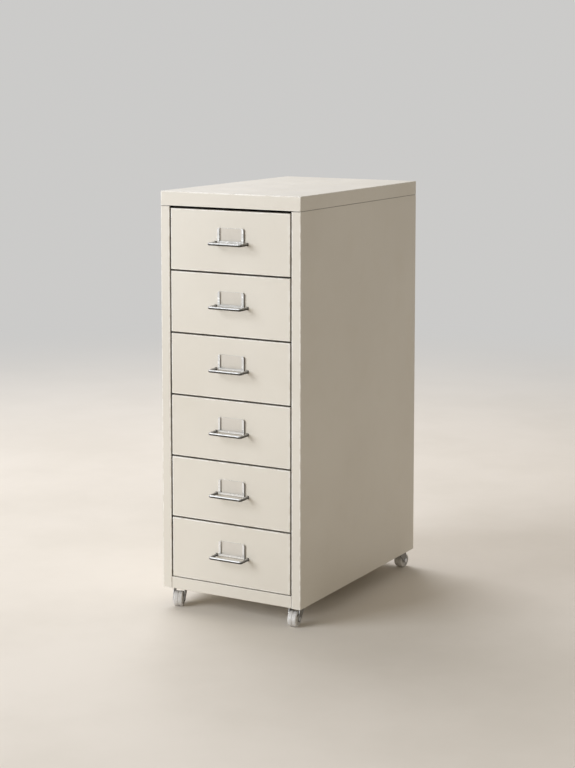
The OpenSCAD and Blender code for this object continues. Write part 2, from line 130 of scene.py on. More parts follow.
def weld(distance=0.005 * mm):
    bpy.ops.mesh.select_all(action="SELECT")
    bpy.ops.mesh.remove_doubles(threshold=distance)
    bpy.ops.mesh.normals_make_consistent(inside=False)


def named(name):  # the newest piece, with its place and size written into its points
    piece = bpy.context.active_object
    bpy.ops.object.transform_apply(location=True, rotation=True, scale=True)
    piece.name = name
    return piece


def addCube(name, low, high):
    pickNothing()
    centre = [(a + b) / 2 for a, b in zip(low, high)]
    size = [b - a for a, b in zip(low, high)]
    bpy.ops.mesh.primitive_cube_add(size=1, location=centre, scale=size)
    return named(name)


def addPlane(name, centre, size, turn=(0, 0, 0)):
    pickNothing()
    bpy.ops.mesh.primitive_plane_add(size=1, location=centre, rotation=turn)
    bpy.context.active_object.scale = (size[0], size[1], 1)
    return named(name)


def addCylinder(name, centre, radius, length, turn=(0, 0, 0), sides=64):
    pickNothing()
    bpy.ops.mesh.primitive_cylinder_add(vertices=sides, radius=radius, depth=length,
                                        location=centre, rotation=turn)
    return named(name)


def discard(*pieces):
    for piece in pieces:
        bpy.data.objects.remove(piece)


def applyModifier(piece, kind, **settings):
    makeActive(piece)
    modifier = piece.modifiers.new(kind.lower(), kind)
    for key, value in settings.items():
        setattr(modifier, key, value)
    bpy.ops.object.modifier_apply(modifier=modifier.name)


def thicken(piece, thickness, rim=0.0):
    applyModifier(piece, "SOLIDIFY", thickness=thickness, offset=-1, use_even_offset=True)
    if rim:  # the sheared edges of a sheet are a little soft
        applyModifier(piece, "BEVEL", width=rim, segments=2, limit_method="ANGLE",
                      angle_limit=math.radians(50), use_clamp_overlap=True)


def cutOut(piece, cutter):
    applyModifier(piece, "BOOLEAN", object=cutter, operation="DIFFERENCE", solver="EXACT")
    discard(cutter)


def joined(name, pieces):
    pickNothing()
    for piece in pieces:
        piece.select_set(True)
    bpy.context.view_layer.objects.active = pieces[0]
    bpy.ops.object.join()
    pieces[0].name = name
    return pieces[0]


def copied(piece, name, place):
    twin = piece.copy()
    twin.data = piece.data.copy()
    twin.name = name
    bpy.context.scene.collection.objects.link(twin)
    twin.data.transform(place)
    return twin


def markEdges(piece, width):  # narrow faces at folds, rims and shoulders, where a finish rubs first and the cream paint takes a painted highlight
    mark = piece.data.attributes.new("rub", "FLOAT", "FACE")
    points = [v.co for v in piece.data.vertices]
    values = []
    for face in piece.data.polygons:
        corners = [points[i] for i in face.vertices]
        around = sum((a - b).length for a, b in zip(corners, corners[1:] + corners[:1]))
        values.append(1.0 if 2 * face.area / around < width else 0.0)
    mark.data.foreach_set("value", values)


def smooth(piece, angle=35, wearAndHighlight=1.2 * mm):
    markEdges(piece, wearAndHighlight)
    makeActive(piece)
    bpy.ops.object.shade_smooth_by_angle(angle=math.radians(angle))
    applyModifier(piece, "WEIGHTED_NORMAL", keep_sharp=True, weight=80)


def coat(piece, material):
    piece.data.materials.clear()
    piece.data.materials.append(material)


def settle(piece, node, body, material):
    coat(piece, material)
    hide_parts(node)
    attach(piece, body)


# Effects that several finishes share

def addNode(tree, kind, values=None, **settings):
    node = tree.nodes.new(kind)
    for key, value in settings.items():
        setattr(node, key, value)
    for key, value in (values or {}).items():
        if isinstance(value, bpy.types.NodeSocket):
            tree.links.new(value, node.inputs[key])
        else:
            node.inputs[key].default_value = value
    return node


def calc(tree, operation, a, b, clamp=False):
    node = addNode(tree, "ShaderNodeMath", {0: a, 1: b}, operation=operation, use_clamp=clamp)
    return node.outputs[0]


def ramped(tree, value, low, high, to=(0.0, 1.0)):
    values = {"Value": value, "From Min": low, "From Max": high, "To Min": to[0], "To Max": to[1]}
    node = addNode(tree, "ShaderNodeMapRange", values, interpolation_type="SMOOTHSTEP")
    return node.outputs["Result"]


def tinted(tree, mask, plain, marked, share=None):
    if share is not None:
        mask = calc(tree, "MULTIPLY", mask, share)
    colours = {0: mask, 6: plain, 7: marked}
    return addNode(tree, "ShaderNodeMix", colours, data_type="RGBA").outputs[2]


def noise(tree, place, scale, detail=3.0, roughness=0.5):
    values = {"Vector": place, "Scale": scale, "Detail": detail, "Roughness": roughness}
    return addNode(tree, "ShaderNodeTexNoise", values).outputs["Fac"]


def objectPlace(tree):
    return addNode(tree, "ShaderNodeTexCoord").outputs["Object"]


def separated(tree, vector):
    return addNode(tree, "ShaderNodeSeparateXYZ", {0: vector}).outputs


def facing(tree):
    return separated(tree, addNode(tree, "ShaderNodeNewGeometry").outputs["Normal"])


def startGroup(name, inputs, output):
    tree = bpy.data.node_groups.new(name, "ShaderNodeTree")
    for label, value in inputs.items():
        socket = tree.interface.new_socket(name=label, in_out="INPUT",
                                           socket_type="NodeSocketFloat")
        socket.default_value = value
    tree.interface.new_socket(name=output, in_out="OUTPUT", socket_type="NodeSocketFloat")
    given = tree.nodes.new("NodeGroupInput").outputs
    return tree, given, tree.nodes.new("NodeGroupOutput").inputs


def useGroup(tree, group, **values):
    return addNode(tree, "ShaderNodeGroup", values, node_tree=group).outputs[0]


effects = {"skinDetail": 2.0, "swellDetail": 1.0, "wearAndHighlightRoughness": 0.6, "wearAndHighlightGain": 6.0,
           "dustSlope": (0.6, 1.0), "dustSpecks": (0.35, 0.75), "dustRoughness": 0.7,
           "smudgeRoughness": 0.62, "hairStretch": (0.03, 1.0, 1.0), "hairGain": 7.0,
           "hairDetail": 2.0, "hairTurns": ((0.0, 0.2, 0.1), (0.5, 1.1, 0.7))}

# Skin of a sprayed or moulded surface: fine grain on a slower swell
skinInputs = {"Grain": 700.0, "Swell": 60.0, "SwellShare": 0.4}
skinGroup, given, out = startGroup("sprayedSkin", skinInputs, "Height")
place = objectPlace(skinGroup)
grain = noise(skinGroup, place, given["Grain"], effects["skinDetail"])
swell = noise(skinGroup, place, given["Swell"], effects["swellDetail"])
swell = calc(skinGroup, "MULTIPLY", swell, given["SwellShare"])
skinGroup.links.new(calc(skinGroup, "ADD", grain, swell), out["Height"])

# Thin or rubbed finish along the edges, broken up so that it isn't an outline; on the cream paint
# it is also a painted highlight
edgeGroup, given, out = startGroup("edgeRub", {"Breakup": 90.0, "Start": 0.42}, "Mask")
bent = addNode(edgeGroup, "ShaderNodeAttribute", attribute_name="rub").outputs["Fac"]
patches = noise(edgeGroup, objectPlace(edgeGroup), given["Breakup"],
                roughness=effects["wearAndHighlightRoughness"])
patches = calc(edgeGroup, "SUBTRACT", patches, given["Start"])
patches = calc(edgeGroup, "MULTIPLY", patches, effects["wearAndHighlightGain"], clamp=True)
edgeGroup.links.new(calc(edgeGroup, "MULTIPLY", bent, patches), out["Mask"])

# Fine dust that lies on what faces up
dustGroup, given, out = startGroup("settledDust", {"Amount": 0.5, "Scale": 40.0}, "Mask")
up = ramped(dustGroup, facing(dustGroup)["Z"], *effects["dustSlope"])
specks = noise(dustGroup, objectPlace(dustGroup), given["Scale"],
               roughness=effects["dustRoughness"])
lying = calc(dustGroup, "MULTIPLY", up, ramped(dustGroup, specks, *effects["dustSpecks"]))
dustGroup.links.new(calc(dustGroup, "MULTIPLY", lying, given["Amount"]), out["Mask"])

# Faint cloudy marks left by hands and cloths
smudgeInputs = {"Scale": 14.0, "Low": 0.48, "High": 0.72}
smudgeGroup, given, out = startGroup("smudges", smudgeInputs, "Mask")
cloud = noise(smudgeGroup, objectPlace(smudgeGroup), given["Scale"],
              roughness=effects["smudgeRoughness"])
cloudRange = {"Value": cloud, "From Min": given["Low"], "From Max": given["High"]}
smudge = addNode(smudgeGroup, "ShaderNodeMapRange", cloudRange)
smudgeGroup.links.new(smudge.outputs["Result"], out["Mask"])

# Hairlines: noise drawn out along X and broken by a second, turned layer
hairGroup, given, out = startGroup("hairlines", {"Scale": 900.0, "Low": 0.6}, "Mask")
layers = []
for turn in effects["hairTurns"]:
    stretch = {"Vector": objectPlace(hairGroup), "Rotation": turn, "Scale": effects["hairStretch"]}
    drawn = addNode(hairGroup, "ShaderNodeMapping", stretch).outputs[0]
    lines = noise(hairGroup, drawn, given["Scale"], effects["hairDetail"])
    lines = calc(hairGroup, "SUBTRACT", lines, given["Low"])
    layers.append(calc(hairGroup, "MULTIPLY", lines, effects["hairGain"], clamp=True))
hairGroup.links.new(calc(hairGroup, "MAXIMUM", *layers), out["Mask"])


# Finishes: one dictionary each, then the function that uses it

def startMaterial(name, **values):
    material = bpy.data.materials.new(name)
    material.use_nodes = True
    tree = material.node_tree
    shader = tree.nodes["Principled BSDF"]
    for key, value in values.items():
        shader.inputs[key].default_value = value
    return material, tree, shader


def addBump(tree, shader, height, distance, strength):
    values = {"Height": height, "Distance": distance, "Strength": strength}
    bump = addNode(tree, "ShaderNodeBump", values)
    tree.links.new(bump.outputs["Normal"], shader.inputs["Normal"])


def dress(tree, shader, finish, colour, wear, height=None):
    tree.links.new(colour, shader.inputs["Base Color"])
    rough = ramped(tree, wear, 0.0, 1.0, finish["roughness"])
    tree.links.new(rough, shader.inputs["Roughness"])
    shader.inputs["Specular IOR Level"].default_value = finish["shine"]
    if height is None:
        height = useGroup(tree, skinGroup, **finish["skin"])
    addBump(tree, shader, height, finish["bump"], finish["bumpStrength"])


paint = {
    "colour": (0.725, 0.682, 0.598, 1), "shade": (0.690, 0.645, 0.560, 1),
    # the lighter edge colour is worn paint and a painted highlight
    "wearAndHighlight": (0.87, 0.845, 0.78, 1), "dust": (0.70, 0.68, 0.64, 1),
    "toneScale": 5.0, "toneRange": (0.3, 0.75), "dustAmount": 0.35,
    "rub": {"Breakup": 60.0, "Start": 0.40}, "wearAndHighlightShare": 0.75, "handScale": 22.0,
    "roughness": (0.36, 0.52), "shine": 0.45, "skin": {"Grain": 620.0, "Swell": 45.0},
    "bump": 0.03 * mm, "bumpStrength": 0.35,
    # painted shade: the dark colour put on the paint inside the gaps and the seam
    "paintedGapShade": (0.38, 0.35, 0.30, 1), "paintedGapShadeFade": 2.8 * mm,
}
caseScuffs = {"marks": {"Scale": 9.0, "Low": 0.55, "High": 0.9}, "share": 0.10,
              "colour": (0.60, 0.56, 0.49, 1)}
trayScuffs = {"marks": {"Scale": 26.0, "Low": 0.48, "High": 0.9}, "share": 0.30,
              "colour": (0.52, 0.49, 0.43, 1)}


def creamPaint(name, scuffs, gap=None):  # gap: two places along Y; between them the paint is darkened as painted shade in a gap
    material, tree, shader = startMaterial(name)
    tone = noise(tree, objectPlace(tree), paint["toneScale"])
    tone = ramped(tree, tone, *paint["toneRange"])
    colour = tinted(tree, tone, paint["colour"], paint["shade"])
    marks = useGroup(tree, smudgeGroup, **scuffs["marks"])
    colour = tinted(tree, marks, colour, scuffs["colour"], scuffs["share"])
    dust = useGroup(tree, dustGroup, Amount=paint["dustAmount"])
    colour = tinted(tree, dust, colour, paint["dust"])
    # lighter edges: thin, rubbed paint and a painted highlight
    edge = useGroup(tree, edgeGroup, **paint["rub"])
    colour = tinted(tree, edge, colour, paint["wearAndHighlight"], paint["wearAndHighlightShare"])
    # painted shade: darker between the two places, where the gaps and the seam hold shade
    if gap:
        start, end, fade = *gap, paint["paintedGapShadeFade"]
        depth = separated(tree, objectPlace(tree))["Y"]
        darkening = calc(tree, "MULTIPLY", ramped(tree, depth, start, start + fade),
                     ramped(tree, depth, end, end - fade))
        colour = tinted(tree, darkening, colour, paint["paintedGapShade"])
    hands = useGroup(tree, smudgeGroup, Scale=paint["handScale"])
    dress(tree, shader, paint, colour, calc(tree, "MAXIMUM", hands, dust))
    return material


# the dark colour is a painted reflection, and a painted shadow at a pull's roots
chrome = {"paintedReflectionShade": (0.06, 0.055, 0.045, 1), "worn": (0.72, 0.70, 0.65, 1), "wornShare": 0.3,
          "paintedSideSlope": (0.35, 0.8), "rub": {"Breakup": 900.0, "Start": 0.5}, "hairShare": 0.5,
          "prints": {"Scale": 130.0, "Low": 0.45, "High": 0.7}, "shine": 0.15,
          "skin": {"Grain": 900.0, "Swell": 160.0, "SwellShare": 1.0},
          "bump": 0.01 * mm, "bumpStrength": 0.25}
# each plate's slope and side values set where it gets its painted reflection
barPlate = {"colour": (0.66, 0.655, 0.64, 1), "metallic": 0.28, "roughness": (0.30, 0.46),
            "paintedFloorSlope": (0.30, 0.06), "paintedSideShare": 0.66, "rootShadowFrom": 3.0 * mm}
sheetPlate = {"colour": (0.82, 0.815, 0.79, 1), "metallic": 0.45, "roughness": (0.16, 0.32),
              "paintedFloorSlope": (-0.1, -0.5), "paintedSideShare": 0.85}
forkPlate = {"colour": (0.42, 0.415, 0.40, 1), "metallic": 0.6, "roughness": (0.30, 0.50),
             "paintedFloorSlope": (-0.1, -0.5), "paintedSideShare": 0.5}


def chromePlate(name, plate, rootShadowAt=None):  # Y where a pull goes into the drawer front; near it the plate is painted dark as a painted contact shadow
    material, tree, shader = startMaterial(name)
    normal = facing(tree)
    # painted reflection: the base colour turns dark and less metallic on faces turned down and to
    # the right, standing in for a dark floor and a dark side mirrored in the plate
    paintedFloorReflection = ramped(tree, normal["Z"], *plate["paintedFloorSlope"])
    paintedSideReflection = ramped(tree, normal["X"], *chrome["paintedSideSlope"], (0.0, plate["paintedSideShare"]))
    paintedReflectionShade = calc(tree, "MAXIMUM", paintedFloorReflection, paintedSideReflection)
    if rootShadowAt is not None:
        # painted shadow: darker towards the drawer front, where the pull goes in
        depth = separated(tree, objectPlace(tree))["Y"]
        paintedRootShadow = ramped(tree, depth, rootShadowAt - plate["rootShadowFrom"], rootShadowAt)
        paintedReflectionShade = calc(tree, "MAXIMUM", paintedReflectionShade, paintedRootShadow)
    metallic = ramped(tree, paintedReflectionShade, 0.0, 1.0, (plate["metallic"], 0.0))
    tree.links.new(metallic, shader.inputs["Metallic"])
    colour = tinted(tree, paintedReflectionShade, plate["colour"], chrome["paintedReflectionShade"])
    edge = useGroup(tree, edgeGroup, **chrome["rub"])
    colour = tinted(tree, edge, colour, chrome["worn"], chrome["wornShare"])
    hair = calc(tree, "MULTIPLY", useGroup(tree, hairGroup), chrome["hairShare"])
    prints = useGroup(tree, smudgeGroup, **chrome["prints"])
    dress(tree, shader, {**chrome, **plate}, colour, calc(tree, "MAXIMUM", hair, prints))
    return material


zinc = {"colour": (0.60, 0.60, 0.61, 1), "bloom": (0.46, 0.47, 0.49, 1),
        "dull": (0.50, 0.48, 0.44, 1), "flakeScale": 160.0, "flakeShare": 0.6, "dullScale": 60.0,
        "dullShare": 0.5, "hairScale": 1400.0, "roughness": (0.32, 0.58), "shine": 0.5,
        "skin": {"Grain": 1500.0, "Swell": 300.0}, "bump": 0.01 * mm, "bumpStrength": 0.4}


def zincPlate():
    material, tree, shader = startMaterial("zincPlate", Metallic=1.0)
    flaking = {"Vector": objectPlace(tree), "Scale": zinc["flakeScale"], "Randomness": 1.0}
    cells = addNode(tree, "ShaderNodeTexVoronoi", flaking)
    flakes = separated(tree, cells.outputs["Color"])["X"]
    flakes = calc(tree, "MULTIPLY", flakes, zinc["flakeShare"])
    colour = tinted(tree, flakes, zinc["colour"], zinc["bloom"])
    dull = useGroup(tree, smudgeGroup, Scale=zinc["dullScale"])
    colour = tinted(tree, dull, colour, zinc["dull"], zinc["dullShare"])
    hair = useGroup(tree, hairGroup, Scale=zinc["hairScale"])
    dress(tree, shader, zinc, colour, calc(tree, "MAXIMUM", flakes, hair))
    return material


paper = {"colour": (0.665, 0.622, 0.552, 1), "fibre": (0.60, 0.57, 0.52, 1),
         "fade": (0.62, 0.58, 0.50, 1), "fibres": {"Scale": 2600.0, "Low": 0.55},
         "fibreShare": 0.3, "fadeScale": 50.0, "fadeShare": 0.4, "roughness": (0.78, 0.92),
         "shine": 0.25, "bump": 0.02 * mm, "bumpStrength": 0.4}


def labelPaper():
    material, tree, shader = startMaterial("labelPaper")
    fibres = useGroup(tree, hairGroup, **paper["fibres"])
    colour = tinted(tree, fibres, paper["colour"], paper["fibre"], paper["fibreShare"])
    aged = useGroup(tree, smudgeGroup, Scale=paper["fadeScale"])
    colour = tinted(tree, aged, colour, paper["fade"], paper["fadeShare"])
    dress(tree, shader, paper, colour, fibres, fibres)
    return material


plastic = {"colour": (0.75, 0.74, 0.72, 1), "darkening": (0.30, 0.27, 0.23, 1),
           "marks": {"Scale": 150.0, "Low": 0.42, "High": 0.75}, "grimeShare": 0.22,
           "floorDust": (0.52, 0.49, 0.44, 1), "rub": {"Breakup": 260.0, "Start": 0.35},
           "dustShare": 0.4, "roughness": (0.34, 0.62), "shine": 0.5,
           "skin": {"Grain": 2200.0, "Swell": 500.0}, "bump": 0.02 * mm, "bumpStrength": 0.4}


def wheelPlastic():
    material, tree, shader = startMaterial("wheelPlastic")
    darkening = useGroup(tree, smudgeGroup, **plastic["marks"])
    colour = tinted(tree, darkening, plastic["colour"], plastic["darkening"], plastic["grimeShare"])
    edge = useGroup(tree, edgeGroup, **plastic["rub"])
    colour = tinted(tree, edge, colour, plastic["floorDust"], plastic["dustShare"])
    dress(tree, shader, plastic, colour, darkening)
    return material


# Painted shade: the gaps round the drawer fronts and the open seam under the cover are painted
# darker, where shade falls
gapInset, everywhere = 1.2 * mm, (-1.0, 1.0)
frontStart, frontEnd = [corner[1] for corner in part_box("drawer_6_front")]
casePaint = creamPaint("casePaint", caseScuffs)
frontPaint = creamPaint("frontPaint", caseScuffs, (frontStart + gapInset, frontEnd - gapInset))
seamPaint = creamPaint("seamPaint", caseScuffs, everywhere)
trayPaint = creamPaint("trayPaint", trayScuffs)
barChrome = chromePlate("barChrome", barPlate, frontStart)
sheetChrome = chromePlate("sheetChrome", sheetPlate)
forkChrome = chromePlate("forkChrome", forkPlate)
zincFinish, cardFinish, plasticFinish = zincPlate(), labelPaper(), wheelPlastic()
print("stage: finishes ready")

# Case
sheet = {"thickness": 0.8 * mm, "fold": 1.3 * mm, "rim": 0.15 * mm, "band": 0.9 * mm,
         "stile": 17.4 * mm, "stileReturn": 2 * mm, "backReturn": 20 * mm}
cover = {"cornerRadius": 1.4 * mm, "topRadius": 1.0 * mm, "lipHalf": 117.3 * mm,
         "lipDepth": 12 * mm}
tongue = {"seam": 0.8 * mm, "weld": 6 * mm, "gap": 0.2 * mm, "inset": 4 * mm}


def bandFront(piece, y):  # a narrow band along the edges of the front face, where the paint is thin and takes a painted highlight
    pickFacing(piece, y=-1, where=lambda middle: near(middle.y, y))
    bpy.ops.mesh.inset(thickness=sheet["band"])


def topCover():
    low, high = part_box("top_cover")
    piece = addCube("topCoverSheet", low, high)
    with editing(piece):
        pickFacing(piece, z=-1)
        bpy.ops.mesh.delete(type="ONLY_FACE")
        pickEdges(piece, lambda a, b: not near(a.z, b.z))
        roundOver(cover["cornerRadius"], segments=4)
        pickEdges(piece, lambda a, b: edgeAt(a, b, z=high[2]))
        roundOver(cover["topRadius"])
        for side in (-1, 1):
            pickFacing(piece, y=-1)
            splitAt((side * cover["lipHalf"], 0, 0), (1, 0, 0))
        pickEdges(piece, lambda a, b: edgeAt(a, b, y=low[1], z=low[2])
                  and abs(a.x + b.x) < cover["lipHalf"])
        extrude(y=cover["lipDepth"])
        bandFront(piece, low[1])
    thicken(piece, sheet["thickness"], sheet["rim"])
    smooth(piece)
    settle(piece, "top_cover", "cabinet", casePaint)


def sidePanel(side, node):
    low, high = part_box(node)
    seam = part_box("top_cover")[0][2] - tongue["seam"]
    wall = max(low[0], high[0], key=abs)
    stile = wall - side * sheet["stile"]
    middle = ((stile + wall) / 2, low[1], (low[2] + seam) / 2)
    size = (sheet["stile"], seam - low[2])
    piece = addPlane(node.title().replace("_", ""), middle, size, (quarterTurn, 0, 0))
    with editing(piece):
        pickEdges(piece, lambda a, b: edgeAt(a, b, x=wall))
        extrude(y=high[1] - low[1])
        extrude(x=-side * sheet["backReturn"])
        pickEdges(piece, lambda a, b: edgeAt(a, b, x=stile, y=low[1]))
        extrude(y=sheet["stileReturn"])
        pickEdges(piece, lambda a, b: not near(a.z, b.z) and (
            edgeAt(a, b, x=wall) or edgeAt(a, b, x=stile, y=low[1])))
        roundOver(sheet["fold"], segments=4)
        bandFront(piece, low[1])
    thicken(piece, sheet["thickness"], sheet["rim"])

    # two strips welded inside the upper edge hold the cover over an open seam
    thick, gap, inset = sheet["thickness"], tongue["gap"], tongue["inset"]
    inner = side * (wall - side * thick)
    strips = [((inner - gap - thick, low[1] + thick + inset),
               (inner - gap, high[1] - 2 * thick - inset)),
              ((side * stile + thick + inset, low[1] + thick + gap),
               (inner - inset, low[1] + 2 * thick + gap))]
    parts, foot = [piece], seam - tongue["weld"]
    for (x0, y0), (x1, y1) in strips:
        x0, x1 = sorted((side * x0, side * x1))
        parts.append(addCube("tongue", (x0, y0, foot), (x1, y1, high[2])))
    piece = joined(piece.name, parts)
    smooth(piece)
    settle(piece, node, "cabinet", casePaint)
    # the faces in the seam under the cover take painted shade
    piece.data.materials.append(seamPaint)
    for face in piece.data.polygons:
        if min(piece.data.vertices[i].co.z for i in face.vertices) > foot - loose:
            face.material_index = 1


topCover()
sidePanel(-1, "side_panel_left")
sidePanel(1, "side_panel_right")

screw = {"headRadius": 3.2 * mm, "headHeight": 1.6 * mm, "headRound": 0.9 * mm,
         "shankRadius": 1.4 * mm, "length": 6 * mm,
         "slot": 0.7 * mm, "slotDepth": 0.8 * mm, "across": 3.4 * mm,
         "panelOut": 125 * mm, "panelHeights": (93.5 * mm, 374.75 * mm, 656 * mm),
         "coverOut": 67.5 * mm, "coverHeight": 704 * mm,
         "turns": (12, 71, 38, 55, 5, 83, 29, 64)}


def caseScrews():
    top = screw["headHeight"]
    head = addCylinder("screw", (0, top / 2, 0), screw["headRadius"], top,
                       (quarterTurn, 0, 0), sides=32)
    with editing(head):
        pickEdges(head, lambda a, b: edgeAt(a, b, y=top))
        roundOver(screw["headRound"], segments=4)
        pickFacing(head, y=-1)
        bpy.ops.mesh.inset(thickness=screw["headRadius"] - screw["shankRadius"])
        extrude(y=-screw["length"])
    half, reach = screw["slot"] / 2, screw["across"] / 2
    for x, z in ((half, reach), (reach, half)):
        cutOut(head, addCube("cut", (-x, top - screw["slotDepth"], -z), (x, top + mm, z)))
    smooth(head, angle=40)
    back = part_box("side_panel_right")[1][1]
    places = []
    for side in (-1, 1):
        places += [(side * screw["panelOut"], back, z) for z in screw["panelHeights"]]
        places.append((side * screw["coverOut"], back, screw["coverHeight"]))
    copies = []
    for spot, turn in zip(places, screw["turns"]):
        way = Matrix.Rotation(math.radians(turn), 4, "Y")
        copies.append(copied(head, "screw", Matrix.Translation(spot) @ way))
    discard(head)
    settle(joined("caseScrewHeads", copies), "case_screws", "cabinet", zincFinish)


caseScrews()

for node, piece in frame["nodes"].items():
    if node in ("back_panel", "base_pan"):
        coat(piece, casePaint)
    elif node.startswith("runners_") or node == "caster_sockets":
        coat(piece, zincFinish)
print("stage: case ready")

# Drawers: each piece is made for drawer 6 and copied up
drawers = {"count": 6, "lip": 12 * mm, "edgeRadius": 1.2 * mm}
pull = {"thickness": 4 * mm, "height": 5 * mm, "arm": 30.5 * mm, "bend": 3 * mm, "foot": 8 * mm,
        "footBend": 2.25 * mm, "slotGap": 0.3 * mm, "slotDepth": 3 * mm, "bendSteps": 7}
label = {"sheet": 0.6 * mm, "lip": 4.4 * mm, "fold": 0.8 * mm, "chamfer": 2.4 * mm}
card = {"thickness": 0.3 * mm, "bow": 0.22 * mm, "cuts": 11, "bowShares": (0.9, 0.72, 0.5, 0.28)}

lowFront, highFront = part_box("drawer_6_front")
pullLow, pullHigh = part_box("drawer_6_pull")
pullMiddle = (pullLow[2] + pullHigh[2]) / 2
# pull and label are made on X = 0, then moved
aside = Matrix.Translation(((pullLow[0] + pullHigh[0]) / 2, 0, 0))


def drawerFront():
    piece = addCube("frontMaster", lowFront, highFront)
    with editing(piece):
        pickFacing(piece, y=1)
        bpy.ops.mesh.inset(thickness=drawers["lip"])
        bpy.ops.mesh.delete(type="FACE")
        pickEdges(piece, lambda a, b: edgeAt(a, b, y=lowFront[1]))
        roundOver(drawers["edgeRadius"], segments=4)
        bandFront(piece, lowFront[1])
    thicken(piece, sheet["thickness"], sheet["rim"])
    for side in (-1, 1):
        x = side * pull["arm"] + aside.translation.x
        half = pull["thickness"] / 2 + pull["slotGap"]
        tall = pull["height"] / 2 + pull["slotGap"]
        cutOut(piece, addCube("cut", (x - half, lowFront[1] - mm, pullMiddle - tall),
                              (x + half, lowFront[1] + pull["slotDepth"], pullMiddle + tall)))
    smooth(piece)
    return piece


def pullBar():
    thick, arm, bend, foot = (pull[k] for k in ("thickness", "arm", "bend", "footBend"))
    footY, barY = pullHigh[1] - thick / 2, pullLow[1] + thick / 2
    pickNothing()
    bpy.ops.mesh.primitive_circle_add(vertices=24, radius=0.5, fill_type="NGON",
                                      location=(-arm - pull["foot"], footY, pullMiddle),
                                      rotation=(0, quarterTurn, 0))
    bpy.context.active_object.scale = (pull["height"], thick, 1)
    piece = named("pullMaster")

    def turn(x, y, angle):  # the operator spins clockwise
        bpy.ops.mesh.spin(steps=pull["bendSteps"], angle=-angle, center=(x, y, pullMiddle),
                          axis=(0, 0, 1))

    with editing(piece):
        bpy.ops.mesh.select_all(action="SELECT")
        extrude(x=pull["foot"] - foot)
        turn(-arm - foot, footY - foot, -quarterTurn)
        extrude(y=barY + bend - (footY - foot))
        turn(-arm + bend, barY + bend, quarterTurn)
        extrude(x=2 * (arm - bend))
        turn(arm - bend, barY + bend, quarterTurn)
        extrude(y=footY - foot - (barY + bend))
        turn(arm + foot, footY - foot, -quarterTurn)
        extrude(x=pull["foot"] - foot)
        weld()
    smooth(piece, angle=40, wearAndHighlight=0)
    piece.data.transform(aside)
    return piece


def boxAtMiddle(node):
    low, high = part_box(node)
    half = (high[0] - low[0]) / 2
    return (-half, low[1], low[2]), (half, high[1], high[2])


def labelFrame():
    low, high = boxAtMiddle("drawer_6_label_frame")
    piece = addCube("frameMaster", low, (high[0], lowFront[1], high[2]))
    innerX, innerZ = high[0] - label["lip"], low[2] + label["lip"]
    across, upward = (1, 0, 0), (0, 0, 1)
    with editing(piece):
        pickFacing(piece, z=1)
        bpy.ops.mesh.delete(type="ONLY_FACE")
        for spot, way in (((-innerX, 0, 0), across), ((innerX, 0, 0), across),
                          ((0, 0, innerZ), upward)):
            pickFacing(piece, y=-1)
            splitAt(spot, way)
        pickFacing(piece, y=-1, where=lambda middle: abs(middle.x) < innerX and middle.z > innerZ)
        bpy.ops.mesh.delete(type="FACE")
        pickEdges(piece, lambda a, b: edgeAt(a, b, z=low[2]) or (
            not near(a.z, b.z) and near(abs(a.x), high[0]) and near(abs(b.x), high[0])))
        roundOver(label["fold"])
        for side in (-1, 1):
            bpy.ops.mesh.select_mode(type="FACE")
            bpy.ops.mesh.select_all(action="SELECT")
            splitAt((side * (high[0] - label["chamfer"]), 0, high[2]), (side, 0, 1), clear=True)
    thicken(piece, label["sheet"])
    smooth(piece, wearAndHighlight=0)
    piece.data.transform(aside)
    return piece


def labelCard():
    low, high = boxAtMiddle("drawer_6_label_card")
    width, middle = high[0] - low[0], (0, low[1], (low[2] + high[2]) / 2)
    piece = addPlane("cardMaster", middle, (width, high[2] - low[2]), (quarterTurn, 0, 0))
    with editing(piece):
        bpy.ops.mesh.select_all(action="SELECT")
        bpy.ops.mesh.subdivide(number_cuts=card["cuts"])
        for share in card["bowShares"]:  # each step takes less of the width and bows it out further
            pickPoints(piece, lambda p: abs(p.x) < share * width / 2)
            step = card["bow"] / len(card["bowShares"])
            bpy.ops.transform.translate(value=(0, -step, 0))
    thicken(piece, card["thickness"])
    smooth(piece, angle=60)
    piece.data.transform(aside)
    return piece


masters = {"front": (drawerFront(), "cream_steel", frontPaint),
           "pull": (pullBar(), "chrome", barChrome),
           "label_frame": (labelFrame(), "chrome", sheetChrome),
           "label_card": (labelCard(), "paper", cardFinish)}
for k in range(1, drawers["count"] + 1):
    body = f"drawer_{k}"
    lift = Matrix.Translation((0, 0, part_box(f"{body}_front")[0][2] - lowFront[2]))
    for part, (master, slot, material) in masters.items():
        piece = copied(master, f"drawer{k}" + part.title().replace("_", ""), lift)
        settle(piece, f"{body}_{part}", body, material)
    coat(frame["nodes"][f"{body}_tray"], trayPaint)
discard(*[entry[0] for entry in masters.values()])
print("stage: drawers ready")

# Casters: made on the swivel axis with the wheel trailing towards +X, then turned into place
caster = {"trail": 11 * mm, "crownTop": 31.9 * mm, "legOut": 10.1 * mm}
wheel = {"radius": 13 * mm, "width": 16 * mm, "shoulder": 2.4 * mm, "rim": 2.8 * mm,
         "rimRound": 0.3 * mm, "dish": 2.6 * mm, "dishSlope": 0.6 * mm, "hubRadius": 5.5 * mm,
         "hubTaper": 0.93, "hubHalf": 8.4 * mm, "bore": 2.55 * mm,
         "groove": 1.6 * mm, "grooveDeep": 0.7 * mm, "grooveFloor": 0.45}
axleAt = Vector((caster["trail"], 0, wheel["radius"]))
sideways = (quarterTurn, 0, 0)


def reachFromAxle(p):
    return math.hypot(p.x - axleAt.x, p.z - axleAt.z)


def scaleFromAxle(factor):
    resize(factor, 1, factor, axleAt)


